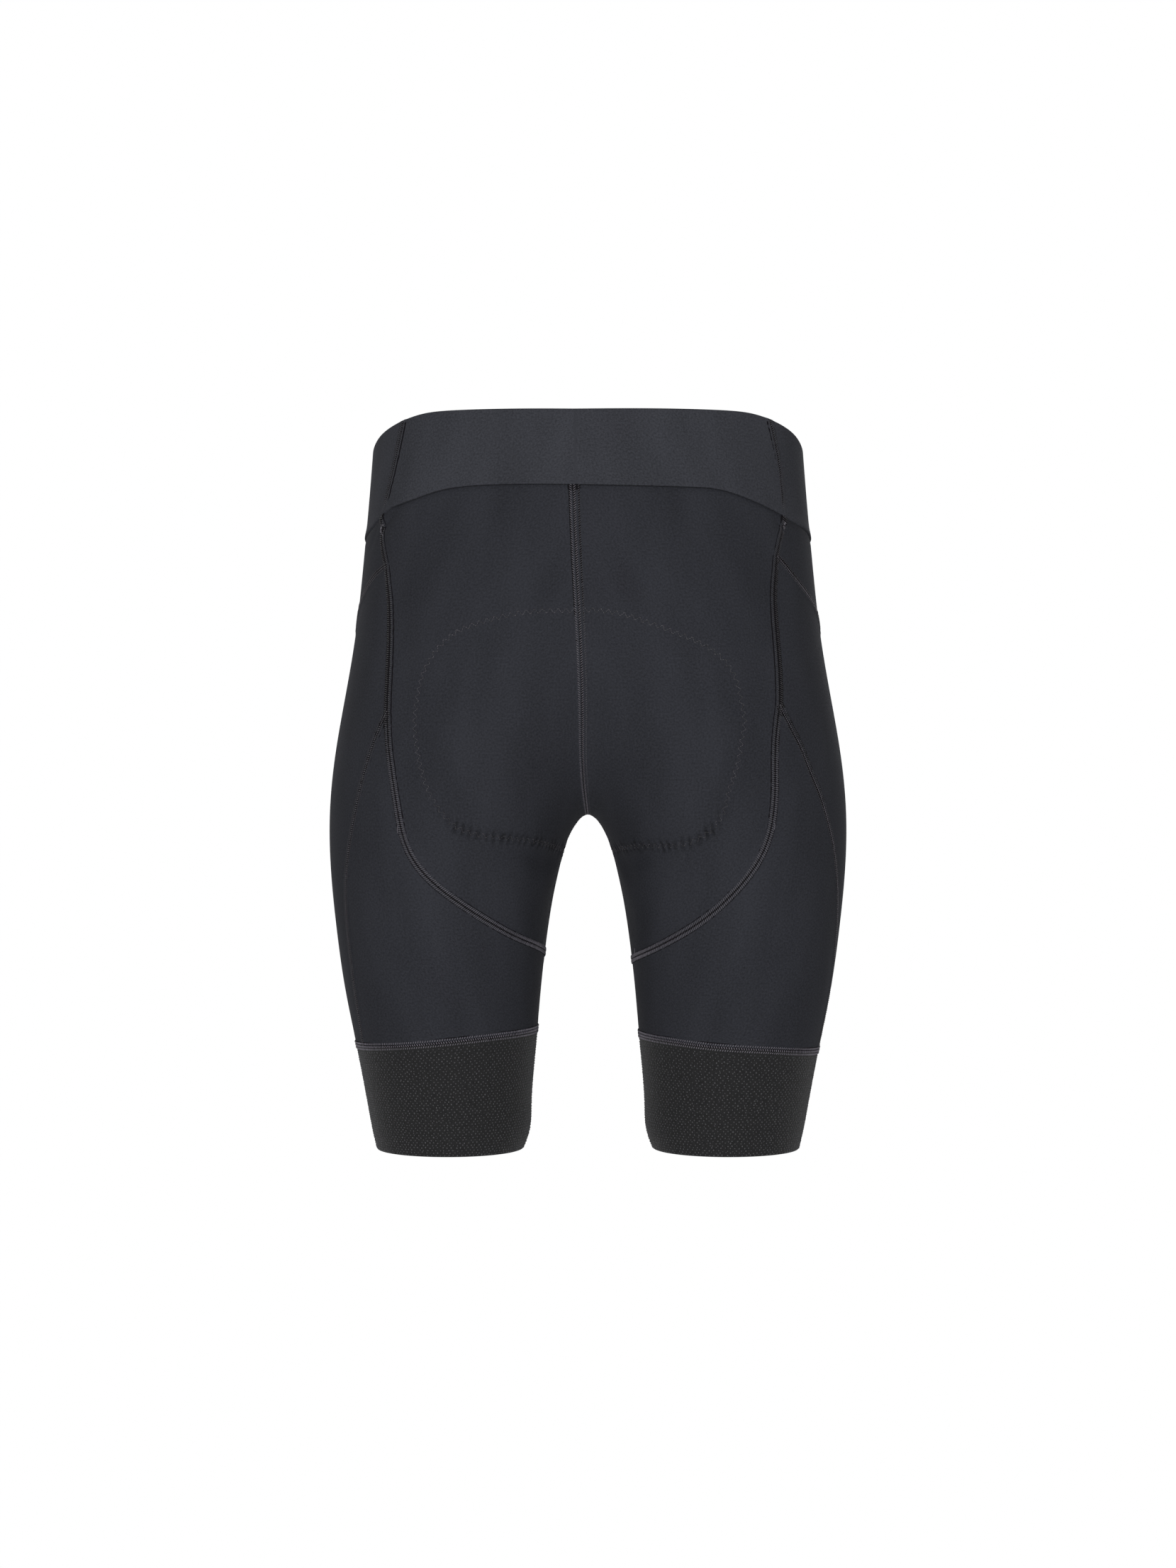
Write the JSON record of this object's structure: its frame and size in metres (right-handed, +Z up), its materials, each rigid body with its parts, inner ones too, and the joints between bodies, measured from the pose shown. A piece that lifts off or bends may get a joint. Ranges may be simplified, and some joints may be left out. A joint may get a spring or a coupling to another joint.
{
  "type": "cycling shorts",
  "caption": "Close-fitting knee-length cycling shorts, filled out and hollow, with a high-backed waistband, panelled seat and thighs and knitted leg bands.",
  "frame": {"origin": "middle of the waist opening, at the height of the rim's sides, where the wearer's waist holds the garment", "axes": "+Z up, -Y towards the front, +Y towards the back, +X towards the wearer's left"},
  "size_m": [0.3526, 0.236, 0.496],
  "materials": {
    "body_knit": "matte warp-knitted nylon and elastane",
    "waist_knit": "matte warp-knitted nylon and elastane, doubled",
    "band_knit": "coarse elastic knit with small raised loops",
    "stitching": "textured polyester thread in flat seams"
  },
  "bodies": {
    "root": {"waistband_back": "waist_knit", "waistband_front": "waist_knit", "seat_left": "body_knit", "seat_right": "body_knit", "back_thigh_left": "body_knit", "back_thigh_right": "body_knit", "side_left": "body_knit", "side_right": "body_knit", "front_left": "body_knit", "front_right": "body_knit", "leg_band_left": "band_knit", "leg_band_right": "band_knit"}
  },
  "joints": []
}
